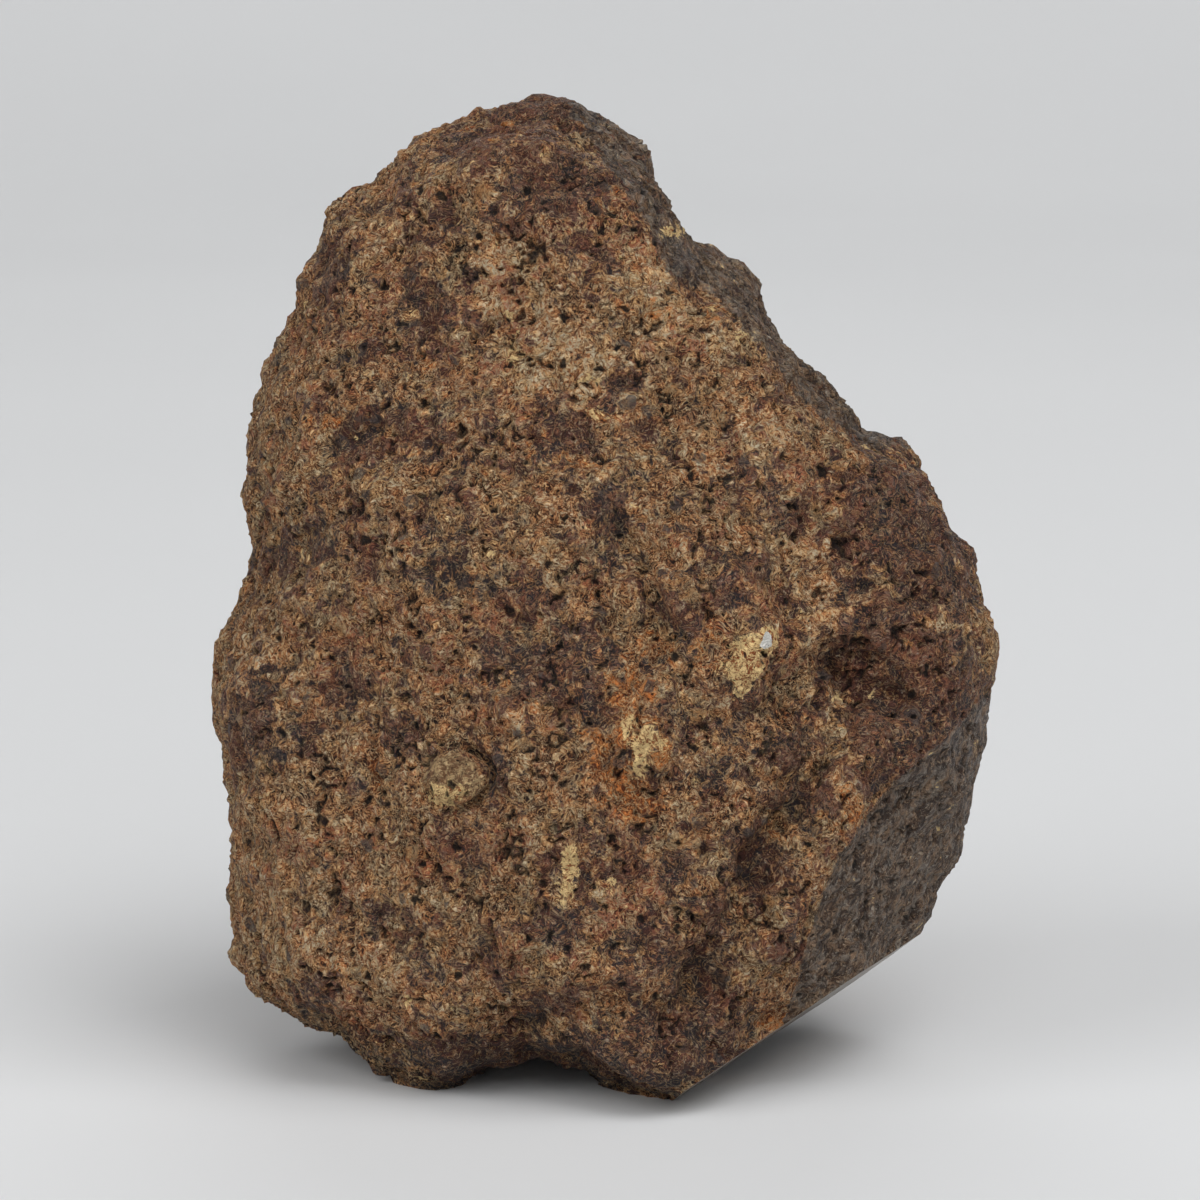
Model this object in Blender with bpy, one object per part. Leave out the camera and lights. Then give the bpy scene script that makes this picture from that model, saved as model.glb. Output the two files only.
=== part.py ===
"""A weathered stony meteorite, about 76 mm tall, with one sawn face and small flats to rest on.

The stone is shaped in its front view, seen from a little above level. In that view u runs right,
v up and w away from the viewer, in millimetres from the middle of the view. Every flat that
weathering and breaking left on the stone is a facet, the rim is the outline of the front view,
and hollows and mounds are laid on the facets. The last step turns the view into the real frame,
X right, Y away, Z up, in metres, and cuts the sawn face and the resting flats.
"""

import math

import bmesh
import bpy
import numpy as np
from mathutils import Matrix, Vector, noise

MM = 0.001

# The front view
VIEW_TILT = math.radians(9.0)
VIEW_DISTANCE = 380.0
VIEW_HEIGHT = 35.9
CORE = (-1.6, -3.3, 0.0)
HALF_SIZE = (32.0, 40.0, 25.0)
CELLS_PER_EDGE = 62
TRIANGLES_KEPT = 9300
SHARP_ANGLE = math.radians(40.0)

# Between which distances from the core the surface is looked for, and how often the span is halved
SEARCH_NEAR = 3.0
SEARCH_FAR = 75.0
SEARCH_HALVINGS = 40

# The rim of the front view, clockwise from the top, before the saw cut took its lower right
OUTLINE = [
    (-4.7, 40.7), (-2.0, 40.1), (1.0, 38.3), (3.2, 36.5), (4.8, 33.6), (5.5, 30.8),
    (7.8, 28.6), (9.8, 28.0), (12.4, 26.3), (13.2, 24.3), (14.6, 20.3), (16.4, 19.0),
    (19.2, 16.8), (21.4, 13.7), (25.0, 11.5), (27.8, 7.1), (29.8, 4.2), (30.1, 1.6),
    (33.0, -3.2), (32.8, -5.6), (31.6, -8.4), (31.7, -11.6), (29.9, -15.4), (28.9, -21.4),
    (26.9, -23.3), (26.6, -26.2), (23.6, -28.4), (22.0, -33.5), (17.5, -38.0), (12.5, -41.0),
    (7.5, -41.4), (5.2, -40.4), (2.5, -39.9), (0.4, -38.8), (-1.0, -37.3), (-3.2, -36.4),
    (-6.4, -36.6), (-9.6, -37.2), (-11.4, -38.8), (-13.4, -39.6), (-15.6, -39.0), (-18.8, -37.2),
    (-20.3, -35.3), (-22.6, -33.8), (-26.0, -32.4), (-28.1, -31.0), (-29.2, -28.0), (-29.3, -24.0),
    (-29.3, -20.6), (-29.7, -16.0), (-29.9, -12.4), (-31.2, -8.8), (-31.8, -5.0), (-30.3, -2.0),
    (-28.4, 2.0), (-27.4, 4.4), (-28.9, 8.6), (-28.3, 12.2), (-27.1, 16.4), (-25.7, 20.0),
    (-24.0, 23.8), (-23.9, 26.8), (-21.9, 30.4), (-20.0, 32.9), (-17.6, 33.6), (-14.4, 37.0),
    (-11.5, 38.5), (-8.7, 39.5),
]
OUTLINE_BLUR = math.radians(9.0)
OUTLINE_STEPS = 721
# Depth at which the rim is widest, by angle round the core in degrees from the right
KEEL_LINE = [(-180, 1), (-140, -2), (-112, -9), (-75, -9), (-50, -5), (-20, 1), (45, 3), (90, 2), (135, -1)]
KEEL_DEPTH = 8.0
KEEL_HEIGHT = 1.4
FRONT_TAPER = 1.6
BACK_TAPER = 8.0
BACK_TAPER_BELOW = 0.25
TAPER_DEPTH = 20.0

# Facets of the front: u, v, how far it stands out there, its slope to the right and upwards,
# and how widely its edges are rounded
FRONT_FACETS = {
    "broad face": (-3.0, 0.0, 23.5, 0.02, -0.10, 0.0),
    "brow": (-6.0, 24.0, 18.0, 0.10, -0.42, 9.0),
    "chin": (-4.0, -27.0, 22.6, 0.02, 0.20, 8.0),
    "left brow": (-22.0, 20.0, 13.0, 0.72, -0.30, 7.0),
    "left cheek": (-26.0, -14.0, 15.0, 0.62, 0.04, 8.0),
    "right cheek": (22.0, 6.0, 17.5, -0.42, -0.20, 7.0),
    "grey flank": (19.0, -20.4, 19.5, -1.35, 0.90, 2.4),
    "grey shoulder": (11.0, 22.6, 17.2, -1.70, -1.60, 2.4),
    "top knob": (-8.0, 38.0, 12.5, 0.05, -1.10, 3.0),
    "lower left bevel": (-25.0, -30.0, 13.5, 0.55, 0.75, 4.0),
}

# Facets of the back, in the same order of values, standing out away from the viewer
BACK_FACETS = {
    "back face": (2.0, -4.0, 22.5, 0.12, 0.05, 0.0),
    "back brow": (-4.0, 20.0, 18.0, 0.16, -0.55, 4.0),
    "back left": (-17.0, 2.0, 17.0, 0.66, -0.12, 4.0),
    "back left wall": (-26.0, 4.0, 9.5, 1.80, -0.25, 3.0),
    "back right": (19.0, -6.0, 17.0, -0.70, 0.18, 4.0),
    "back right wall": (28.0, -6.0, 9.5, -1.90, 0.20, 3.0),
    "back right shoulder": (13.0, 19.0, 13.0, -1.05, -0.85, 3.0),
    "back heel": (0.0, -33.0, 18.0, -0.05, 0.50, 4.0),
    "back left foot": (-19.0, -24.0, 13.5, 0.60, 0.50, 4.0),
    "back right foot": (14.0, -26.0, 15.0, -0.50, 0.45, 4.0),
    "back crown": (4.0, 32.0, 11.0, -0.35, -0.90, 3.0),
    "back left crown": (-15.0, 29.0, 11.0, 0.70, -0.80, 3.0),
}
RIM_ROUND = 3.6
FRONT_BACK_ROUND = 4.0

# Mounds and hollows laid on the front: u, v, reach to the right, reach upwards, height
FRONT_MOUNDS = [
    (23.0, -8.4, 3.0, 2.8, -2.4),
    (17.6, -7.4, 2.8, 3.4, -1.2),
    (18.2, -15.4, 2.0, 2.0, 0.8),
    (14.6, -11.6, 2.0, 1.8, 0.7),
    (-5.2, -33.6, 5.6, 2.6, -2.6),
    (-11.4, -14.2, 2.6, 2.5, 1.2),
    (-4.9, -5.4, 3.8, 2.6, -0.9),
    (-13.6, 23.4, 2.6, 2.2, -0.9),
    (-16.4, 12.8, 2.4, 2.4, -0.8),
    (0.2, 13.4, 2.6, 2.0, -0.8),
    (-27.6, -9.6, 2.0, 3.8, -1.1),
    (-20.6, -8.2, 2.2, 2.2, -0.7),
    (-16.2, -11.2, 1.8, 2.4, -0.6),
    (12.0, -4.4, 2.2, 2.6, 0.7),
    (3.0, -10.8, 2.6, 3.4, 0.8),
    (0.4, -20.8, 3.0, 3.0, -0.7),
    (-24.6, 8.8, 4.0, 1.8, 0.9),
    (-25.6, 3.6, 3.6, 1.9, -1.2),
    (8.0, 4.4, 3.2, 4.0, 0.8),
    (-2.0, 24.0, 4.6, 4.6, 0.7),
    (1.8, 34.6, 3.0, 2.2, -0.8),
    (-17.6, -30.6, 3.4, 3.2, 0.9),
    (5.2, -36.6, 3.2, 2.6, 0.8),
    (23.6, 3.2, 2.8, 2.4, 0.8),
]

# A trough runs down the lower right of the front, with a rib beside it
TROUGH = [(19.6, -6.0), (16.6, -14.5), (12.6, -22.5), (9.4, -28.4), (6.4, -33.0)]
TROUGH_REACH = 2.7
TROUGH_DEPTH = 2.2
RIB = [(22.0, -12.4), (18.2, -19.2), (15.4, -26.5)]
RIB_REACH = 2.0
RIB_HEIGHT = 0.9

# Thumbprint hollows and mounds of the back, in the same order of values
BACK_MOUNDS = [
    (-9.0, 12.0, 6.5, 5.4, -2.0),
    (8.0, 6.0, 5.6, 6.2, -1.7),
    (-5.0, -12.0, 6.4, 5.2, -1.9),
    (14.0, -16.0, 4.6, 5.0, -1.6),
    (-18.0, -4.0, 4.0, 5.2, -1.3),
    (2.0, 26.0, 4.8, 3.8, -1.1),
    (-1.0, 2.0, 3.2, 3.2, 1.1),
    (10.0, -28.0, 4.4, 3.4, -1.2),
    (-15.0, -22.0, 4.2, 3.8, 1.2),
    (19.0, 8.0, 3.4, 4.6, 1.1),
]

# The underside stays clear of the ground, apart from two front feet and a heel
SOLE_CLEARANCE = 2.3
SOLE_ROUND = 1.6
FOOT_DIP = 1.3
FEET = [
    (-12.9, -15.4, 5.6, 6.0),
    (4.4, -15.2, 6.6, 6.0),
    (-2.0, 7.0, 11.0, 7.0),
]

# Weathered lumpiness: wavelength, height and seed offset of each size of lump
LUMPS = [(14.0, 2.2, 3.1), (6.5, 1.3, 17.7)]
KNOB_SPACING = 4.8
KNOB_HEIGHT = 0.5
KNOB_SHARPNESS = 2.2
KNOB_SINK = 0.5
LUMP_RIM_SHARE = 0.15
LUMP_RIM_BAND = 4.0
LUMP_KEEL_GAP = 2.0
LUMP_KEEL_BAND = 7.0
LUMP_SIDE_SINK = 0.8

# The sawn face, by the line it draws in the front view and how far it opens towards the viewer
SAW_LOW = (7.84, -39.2)
SAW_HIGH = (20.24, -30.72)
SAW_OPENING = 0.5
SAW_DEPTHS = (-18.0, 18.0)
CUTTER_SIZE = 120.0

STONE_COLOUR = (0.123, 0.073, 0.045, 1.0)
STONE_ROUGHNESS = 0.8


def to_real(points):
    """Turns points of the front view into real ones, X right, Y away, Z up from the ground."""
    u, v, w = points.T
    widening = 1.0 + w / VIEW_DISTANCE
    across = u * widening
    upright = v * widening
    away = w * math.cos(VIEW_TILT) + upright * math.sin(VIEW_TILT)
    height = upright * math.cos(VIEW_TILT) - w * math.sin(VIEW_TILT) + VIEW_HEIGHT
    return np.stack([across, away, height], axis=1)


def smooth_max(first, second, rounding):
    """The larger of two distances, with a round fillet where they are nearly the same."""
    if rounding <= 0.0:
        return np.maximum(first, second)
    closeness = np.maximum(rounding - np.abs(first - second), 0.0) / rounding
    return np.maximum(first, second) + closeness**2 * rounding / 4.0


def outline_tables():
    """Radius of the rim round the core by angle: as it is, and blurred."""
    points = np.array(OUTLINE) - np.array(CORE[:2])
    angles = np.arctan2(points[:, 1], points[:, 0])
    radii = np.hypot(points[:, 0], points[:, 1])
    order = np.argsort(angles)
    fine = np.linspace(-math.pi, math.pi, OUTLINE_STEPS)
    sharp = np.interp(fine, angles[order], radii[order], period=2.0 * math.pi)
    apart = np.abs((fine[:, None] - fine[None, :-1] + math.pi) % (2.0 * math.pi) - math.pi)
    weights = np.exp(-((apart / OUTLINE_BLUR) ** 2))
    blurred = weights @ sharp[:-1] / weights.sum(axis=1)
    return fine, sharp, blurred


OUTLINE_ANGLES, OUTLINE_SHARP, OUTLINE_BLURRED = outline_tables()


def round_the_core(u, v):
    """Distance of a point of the view from the core, and its angle round the core."""
    angle = np.arctan2(v - CORE[1], u - CORE[0])
    radius = np.hypot(u - CORE[0], v - CORE[1])
    return radius, angle


def keel_depth(angle):
    """Depth of the line round the stone along which the rim is widest."""
    turns, depths = np.array(KEEL_LINE, float).T
    return np.interp(np.degrees(angle), turns, depths, period=360.0)


def rim_excess(u, v, w):
    """Distance outside the rim, which drops away on both sides of its keel."""
    radius, angle = round_the_core(u, v)
    sharp = np.interp(angle, OUTLINE_ANGLES, OUTLINE_SHARP)
    blurred = np.interp(angle, OUTLINE_ANGLES, OUTLINE_BLURRED)
    away = w - keel_depth(angle)
    fade = np.clip(np.abs(away) / KEEL_DEPTH, 0.0, 1.0)
    upness = (1.0 + np.sin(angle)) / 2.0
    back_taper = BACK_TAPER * (BACK_TAPER_BELOW + (1.0 - BACK_TAPER_BELOW) * upness)
    taper = np.where(away < 0.0, FRONT_TAPER, back_taper) * (away / TAPER_DEPTH) ** 2
    limit = sharp + (blurred - KEEL_HEIGHT - sharp) * fade - taper
    return radius - limit


def facets_excess(facets, u, v, out):
    """Distance outside a set of facets, each rounded into those before it."""
    total = None
    for at_u, at_v, stands_out, right, up, rounding in facets.values():
        plane = stands_out + right * (u - at_u) + up * (v - at_v)
        excess = (out - plane) / math.sqrt(1.0 + right**2 + up**2)
        total = excess if total is None else smooth_max(total, excess, rounding)
    return total


def mounds(rows, u, v):
    """Height of all the mounds and hollows of a list, each a smooth bell."""
    total = np.zeros_like(u)
    for at_u, at_v, reach_u, reach_v, height in rows:
        total += height * np.exp(-(((u - at_u) / reach_u) ** 2) - ((v - at_v) / reach_v) ** 2)
    return total


def distance_to_line(line, u, v):
    """Distance to a line of straight stretches in the view."""
    nearest = np.full_like(u, np.inf)
    for (u0, v0), (u1, v1) in zip(line, line[1:]):
        along_u, along_v = u1 - u0, v1 - v0
        share = ((u - u0) * along_u + (v - v0) * along_v) / (along_u**2 + along_v**2)
        share = np.clip(share, 0.0, 1.0)
        nearest = np.minimum(nearest, np.hypot(u - u0 - share * along_u, v - v0 - share * along_v))
    return nearest


def front_relief(u, v):
    """Height that the mounds, the trough and its rib add to the front."""
    trough = np.exp(-((distance_to_line(TROUGH, u, v) / TROUGH_REACH) ** 2))
    rib = np.exp(-((distance_to_line(RIB, u, v) / RIB_REACH) ** 2))
    return mounds(FRONT_MOUNDS, u, v) - TROUGH_DEPTH * trough + RIB_HEIGHT * rib


def sole_excess(points):
    """Distance below the underside, which dips to the ground at the feet and the heel."""
    across, away, height = to_real(points).T
    share = np.zeros_like(across)
    for foot_x, foot_y, reach_x, reach_y in FEET:
        bump = np.exp(-(((across - foot_x) / reach_x) ** 2) - ((away - foot_y) / reach_y) ** 2)
        share = np.maximum(share, bump)
    sole = SOLE_CLEARANCE - (SOLE_CLEARANCE + FOOT_DIP) * share
    return sole - height


def stone_excess(points):
    """Distance outside the stone, negative inside it."""
    u, v, w = points.T
    front = facets_excess(FRONT_FACETS, u, v, -w) - front_relief(u, v)
    back = facets_excess(BACK_FACETS, u, v, w) - mounds(BACK_MOUNDS, u, v)
    total = smooth_max(front, back, FRONT_BACK_ROUND)
    total = smooth_max(total, rim_excess(u, v, w), RIM_ROUND)
    return smooth_max(total, sole_excess(points), SOLE_ROUND)


def surface_reach(directions):
    """How far the surface lies from the core along each direction, by halving."""
    core = np.array(CORE)
    near = np.full(len(directions), SEARCH_NEAR)
    far = np.full(len(directions), SEARCH_FAR)
    for _ in range(SEARCH_HALVINGS):
        middle = (near + far) / 2.0
        inside = stone_excess(core + directions * middle[:, None]) < 0.0
        near = np.where(inside, middle, near)
        far = np.where(inside, far, middle)
    return near


def lumpiness(points):
    """Rounded lumps of a few sizes, low along the rim so that the outline holds."""
    radius, angle = round_the_core(points[:, 0], points[:, 1])
    to_rim = np.interp(angle, OUTLINE_ANGLES, OUTLINE_SHARP) - radius
    to_keel = np.abs(points[:, 2] - keel_depth(angle)) - LUMP_KEEL_GAP
    inner = np.clip(to_rim / LUMP_RIM_BAND, 0.0, 1.0)
    side = np.clip(to_keel / LUMP_KEEL_BAND, 0.0, 1.0)
    share = np.maximum(np.maximum(inner, side), LUMP_RIM_SHARE)
    height = np.zeros(len(points))
    for wavelength, size, offset in LUMPS:
        for i, point in enumerate(points):
            place = Vector(point) / wavelength + Vector((offset, offset, offset))
            height[i] += size * noise.noise(place)
    for i, point in enumerate(points):
        nearest, second = noise.voronoi(Vector(point) / KNOB_SPACING)[0][:2]
        height[i] += KNOB_HEIGHT * (min(KNOB_SHARPNESS * (second - nearest), 1.0) - KNOB_SINK)
    return height * share - LUMP_SIDE_SINK * side * (1.0 - inner)


def stone_mesh():
    """A ball of even quads whose points are moved out to the surface of the stone."""
    ball = bmesh.new()
    bmesh.ops.create_cube(ball, size=2.0)
    bmesh.ops.subdivide_edges(
        ball, edges=ball.edges[:], cuts=CELLS_PER_EDGE - 1, use_grid_fill=True
    )
    directions = np.array([vertex.co for vertex in ball.verts])
    directions = np.tan(directions * math.pi / 4.0)
    directions /= np.linalg.norm(directions, axis=1)[:, None]
    directions *= np.array(HALF_SIZE)
    directions /= np.linalg.norm(directions, axis=1)[:, None]
    reach = surface_reach(directions)
    points = np.array(CORE) + directions * reach[:, None]
    points = points + directions * lumpiness(points)[:, None]
    # The view's w runs away from the viewer, which makes its frame left-handed
    for vertex, place in zip(ball.verts, to_real(points) * MM):
        vertex.co = place
    bmesh.ops.recalc_face_normals(ball, faces=ball.faces[:])
    bmesh.ops.triangulate(ball, faces=ball.faces[:])
    mesh = bpy.data.meshes.new("meteorite")
    ball.to_mesh(mesh)
    ball.free()
    return mesh


def block(name, matrix):
    """A large block that fills the space on the +Z side of the matrix, to be cut away."""
    shape = bmesh.new()
    bmesh.ops.create_cube(shape, size=CUTTER_SIZE * MM)
    bmesh.ops.translate(shape, verts=shape.verts[:], vec=(0.0, 0.0, CUTTER_SIZE * MM / 2.0))
    mesh = bpy.data.meshes.new(name)
    shape.to_mesh(mesh)
    shape.free()
    cutter = bpy.data.objects.new(name, mesh)
    cutter.matrix_world = matrix
    cutter.hide_render = True
    cutter.display_type = "WIRE"
    return cutter


def saw_matrix():
    """A frame on the sawn face: X along the line it draws, Z out of the stone."""
    near, far = SAW_DEPTHS
    along = np.array(SAW_HIGH) - np.array(SAW_LOW)
    outward = np.array((along[1], -along[0])) / np.hypot(*along)
    corners = np.array(
        [
            (*SAW_LOW, far),
            (*SAW_HIGH, far),
            (*(np.array(SAW_LOW) - outward * SAW_OPENING), near),
        ]
    )
    low, high, front = (Vector(corner) * MM for corner in to_real(corners))
    x_axis = (high - low).normalized()
    z_axis = (low - front).cross(x_axis).normalized()
    if z_axis.z > 0.0:
        z_axis.negate()
    y_axis = z_axis.cross(x_axis)
    matrix = Matrix((x_axis, y_axis, z_axis)).transposed().to_4x4()
    matrix.translation = (high + low) / 2.0
    return matrix


def finish():
    """Matt brown crust."""
    material = bpy.data.materials.new("weathered stone")
    material.use_nodes = True
    shader = material.node_tree.nodes["Principled BSDF"]
    shader.inputs["Base Color"].default_value = STONE_COLOUR
    shader.inputs["Roughness"].default_value = STONE_ROUGHNESS
    return material


def new_collection(name):
    collection = bpy.data.collections.new(name)
    bpy.context.scene.collection.children.link(collection)
    return collection


def thin_out(stone):
    """Merges the faces of flat stretches first, so that edges and hollows keep theirs."""
    decimate = stone.modifiers.new("thin out", "DECIMATE")
    decimate.ratio = TRIANGLES_KEPT / len(stone.data.polygons)


def cut(stone, cutter):
    """Takes the cutter's block away from the stone."""
    boolean = stone.modifiers.new(cutter.name, "BOOLEAN")
    boolean.operation = "DIFFERENCE"
    boolean.solver = "EXACT"
    boolean.object = cutter


def centre(stone, cutters):
    """Applies the cuts, then moves all so that the origin is under the middle of the stone."""
    bpy.context.view_layer.update()
    graph = bpy.context.evaluated_depsgraph_get()
    whole = bpy.data.meshes.new_from_object(stone.evaluated_get(graph))
    stone.modifiers.clear()
    rough = stone.data
    stone.data = whole
    bpy.data.meshes.remove(rough)
    whole.name = stone.name
    places = np.array([vertex.co for vertex in whole.vertices])
    low, high = places.min(axis=0), places.max(axis=0)
    move = Vector((-(low[0] + high[0]) / 2.0, -(low[1] + high[1]) / 2.0, 0.0))
    whole.transform(Matrix.Translation(move))
    for cutter in cutters:
        cutter.matrix_world = Matrix.Translation(move) @ cutter.matrix_world
    return move


def main():
    for thing in list(bpy.data.objects):
        bpy.data.objects.remove(thing, do_unlink=True)
    stones = new_collection("meteorite")
    cutters = new_collection("cutters")
    stone = bpy.data.objects.new("meteorite", stone_mesh())
    stones.objects.link(stone)
    thin_out(stone)
    saw = block("saw", saw_matrix())
    ground = block("ground", Matrix.Rotation(math.pi, 4, "X"))
    for cutter in (saw, ground):
        cutters.objects.link(cutter)
        cut(stone, cutter)
    stone.data.materials.append(finish())
    move = centre(stone, (saw, ground))
    stone.data.shade_smooth()
    stone.data.set_sharp_from_angle(angle=SHARP_ANGLE)
    print("moved by", [round(value / MM, 3) for value in move], "mm")
    print("sawn face looks along", [round(row[2], 5) for row in saw.matrix_world][:3])


main()
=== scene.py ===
# %% [markdown]
# A weathered stony meteorite
#
# The real thing is a hand-sized stone that fell long ago. Its crust has rusted to brown and tan,
# dark round grains stand out of it, and two younger breaks on its right are grey. One corner was
# sawn off and polished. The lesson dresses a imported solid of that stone: first the view and the
# light, then a fine skin with real relief, and last the colours.

import math

import bmesh
import bpy
import numpy as np
from mathutils import Matrix, Vector


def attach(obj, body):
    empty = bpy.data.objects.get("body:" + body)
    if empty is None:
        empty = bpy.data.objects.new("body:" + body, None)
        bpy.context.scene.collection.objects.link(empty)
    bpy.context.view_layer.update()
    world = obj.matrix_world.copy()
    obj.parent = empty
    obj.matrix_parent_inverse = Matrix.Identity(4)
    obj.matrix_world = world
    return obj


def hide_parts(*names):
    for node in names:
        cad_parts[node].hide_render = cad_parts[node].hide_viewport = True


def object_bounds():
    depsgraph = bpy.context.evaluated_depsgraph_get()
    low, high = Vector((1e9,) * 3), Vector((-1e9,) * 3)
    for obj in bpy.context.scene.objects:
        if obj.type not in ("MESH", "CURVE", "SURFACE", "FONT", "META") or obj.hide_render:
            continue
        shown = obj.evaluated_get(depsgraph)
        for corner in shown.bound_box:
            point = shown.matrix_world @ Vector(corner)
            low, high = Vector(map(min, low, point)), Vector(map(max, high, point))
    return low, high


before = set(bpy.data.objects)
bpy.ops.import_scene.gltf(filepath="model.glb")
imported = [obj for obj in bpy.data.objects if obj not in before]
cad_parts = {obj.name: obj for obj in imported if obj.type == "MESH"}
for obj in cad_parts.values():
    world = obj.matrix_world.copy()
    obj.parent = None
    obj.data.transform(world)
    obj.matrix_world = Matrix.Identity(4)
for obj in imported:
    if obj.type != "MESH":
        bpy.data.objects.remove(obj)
cad_low, cad_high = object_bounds()
print("packed box in mm:", [round(1000 * (b - a), 2) for a, b in zip(cad_low, cad_high)])

# %% [markdown]
# The view
#
# The photograph looks a little down on the stone. A long lens at arm's length keeps the sides of
# the stone nearly parallel. The same numbers serve twice: they place the camera, and they say
# where in the picture a point of the stone is seen, so that marks can be laid where they belong.

# %% View
MM = 0.001
VIEW_TILT = math.radians(9.0)
VIEW_DISTANCE = 380.0
VIEW_MIDDLE = np.array((-0.342, 1.471, 35.9))
PICTURE_SIDE = 1200
PIXELS_PER_MM = 12.5
SENSOR = 36.0


def seen_at(points):
    """Where in the picture points are seen, in pixels, and how far behind the middle they lie."""
    across, away, up = (points - VIEW_MIDDLE).T
    depth = away * math.cos(VIEW_TILT) - up * math.sin(VIEW_TILT)
    height = up * math.cos(VIEW_TILT) + away * math.sin(VIEW_TILT)
    scale = PIXELS_PER_MM / (1.0 + depth / VIEW_DISTANCE)
    half = PICTURE_SIDE / 2
    return half + across * scale, half - height * scale, depth


view_line = np.array((0.0, math.cos(VIEW_TILT), -math.sin(VIEW_TILT)))
camera_data = bpy.data.cameras.new("camera")
camera_data.sensor_width = SENSOR
camera_data.lens = SENSOR * VIEW_DISTANCE * PIXELS_PER_MM / PICTURE_SIDE
camera_data.clip_start = 0.01
camera = bpy.data.objects.new("camera", camera_data)
camera.location = (VIEW_MIDDLE - view_line * VIEW_DISTANCE) * MM
camera.rotation_euler = (math.pi / 2 - VIEW_TILT, 0.0, 0.0)
bpy.context.scene.collection.objects.link(camera)
bpy.context.scene.camera = camera
bpy.context.scene.view_settings.view_transform = "Standard"
print("lens", round(camera_data.lens, 1), "mm, camera at", [round(v, 3) for v in camera.location])

# %% [markdown]
# The node helpers
#
# A finish is a small sum: a bit of noise, minus a threshold, times a colour. Written as Python
# expressions it stays readable. A Wire is one output of a node. Adding or multiplying wires adds
# Math nodes, and every other node comes from one method that takes its type, its settings and
# what goes into its sockets.


# %% Node helpers
class Wire:
    """A number or vector that varies over the stone. Arithmetic on it adds Math nodes."""

    def __init__(self, recipe, socket):
        self.recipe = recipe
        self.socket = socket

    def math(self, operation, *values):
        return self.recipe.node("ShaderNodeMath", {"operation": operation}, enumerate(values))

    def __add__(self, other):
        return self.math("ADD", self, other)

    def __radd__(self, other):
        return self.math("ADD", other, self)

    def __sub__(self, other):
        return self.math("SUBTRACT", self, other)

    def __rsub__(self, other):
        return self.math("SUBTRACT", other, self)

    def __mul__(self, other):
        return self.math("MULTIPLY", self, other)

    def __rmul__(self, other):
        return self.math("MULTIPLY", other, self)

    def __rtruediv__(self, other):
        return self.math("DIVIDE", other, self)

    def largest(self, other):
        return self.math("MAXIMUM", self, other)

    def size(self):
        return self.math("ABSOLUTE", self)

    def rises(self, start, end):
        """0 before start, 1 after end, and a smooth step between them."""
        settings = {"interpolation_type": "SMOOTHSTEP"}
        sockets = {"Value": self, "From Min": start, "From Max": end}
        return self.recipe.node("ShaderNodeMapRange", settings, sockets)


class Recipe:
    """One node tree, of a material or of a Geometry Nodes group, filled in step by step."""

    def __init__(self, tree):
        self.tree = tree

    def node(self, kind, settings=(), sockets=(), output=0):
        made = self.tree.nodes.new(kind)
        for name, value in dict(settings).items():
            setattr(made, name, value)
        for name, value in dict(sockets).items():
            if isinstance(value, Wire):
                self.tree.links.new(value.socket, made.inputs[name])
            else:
                made.inputs[name].default_value = value
        if output is None:
            return made
        return Wire(self, made.outputs[output])

    def vector(self, operation, first, second):
        """Vector arithmetic, with a single number or three of them as the second value."""
        name = "Scale" if operation == "SCALE" else 1
        return self.node("ShaderNodeVectorMath", {"operation": operation}, {0: first, name: second})

    def share_of(self, colour, red=1.0, green=0.0, blue=0.0):
        """One of a colour's shares, as one number."""
        sockets = {0: colour, 1: (red, green, blue)}
        return self.node("ShaderNodeVectorMath", {"operation": "DOT_PRODUCT"}, sockets, "Value")

    def noise(self, place, per_mm, detail=2.0, roughness=0.5, distortion=0.0, output="Fac"):
        sockets = {"Vector": place, "Scale": per_mm, "Detail": detail}
        sockets.update({"Roughness": roughness, "Distortion": distortion})
        return self.node("ShaderNodeTexNoise", {}, sockets, output)

    def cells(self, place, per_mm, output="Distance"):
        return self.node("ShaderNodeTexVoronoi", {}, {"Vector": place, "Scale": per_mm}, output)

    def bent(self, place, per_mm, reach):
        """The place, moved about by a smooth noise, so that what is drawn on it wavers."""
        wander = self.noise(place, per_mm, 1.0, output="Color")
        centred = self.vector("SUBTRACT", wander, (0.5, 0.5, 0.5))
        return self.vector("ADD", place, self.vector("SCALE", centred, reach))

    def feed(self, shader, name, wire):
        self.tree.links.new(wire.socket, shader.inputs[name])

    def place_in_mm(self):
        """The point being shaded, in the stone's own coordinates."""
        return self.vector("SCALE", self.node("ShaderNodeTexCoord", output="Object"), 1.0 / MM)

    def mix(self, share, first, second, blend="MIX"):
        """One colour into another."""
        settings = {"data_type": "RGBA", "blend_type": blend, "clamp_factor": True}
        return self.node("ShaderNodeMix", settings, {0: share, 6: first, 7: second}, 2)


def opened(material):
    """The recipe of a material, and the shader that it feeds."""
    material.use_nodes = True
    return Recipe(material.node_tree), material.node_tree.nodes["Principled BSDF"]


def paint(red, green, blue):
    """A colour as it looks on a screen, 0 to 255, as the linear colour that shaders take."""
    share = np.array((red, green, blue)) / 255.0
    linear = np.where(share <= 0.04045, share / 12.92, ((share + 0.055) / 1.055) ** 2.4)
    return (*(float(value) for value in linear), 1.0)


print("helpers ready; mid grey is", round(paint(128, 128, 128)[0], 3))

# %% [markdown]
# The table top
#
# The stone stands on pale paper that curves up far behind it. A shallow round bowl is that paper
# for every direction at once, so the stone can be looked at from all sides without a horizon.

# %% Paper
PAPER_FLAT = 0.9
PAPER_CURVE = 0.7
PAPER_RISE = math.radians(80.0)
PAPER_STEPS = 24
PAPER_TURNS = 96


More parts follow.
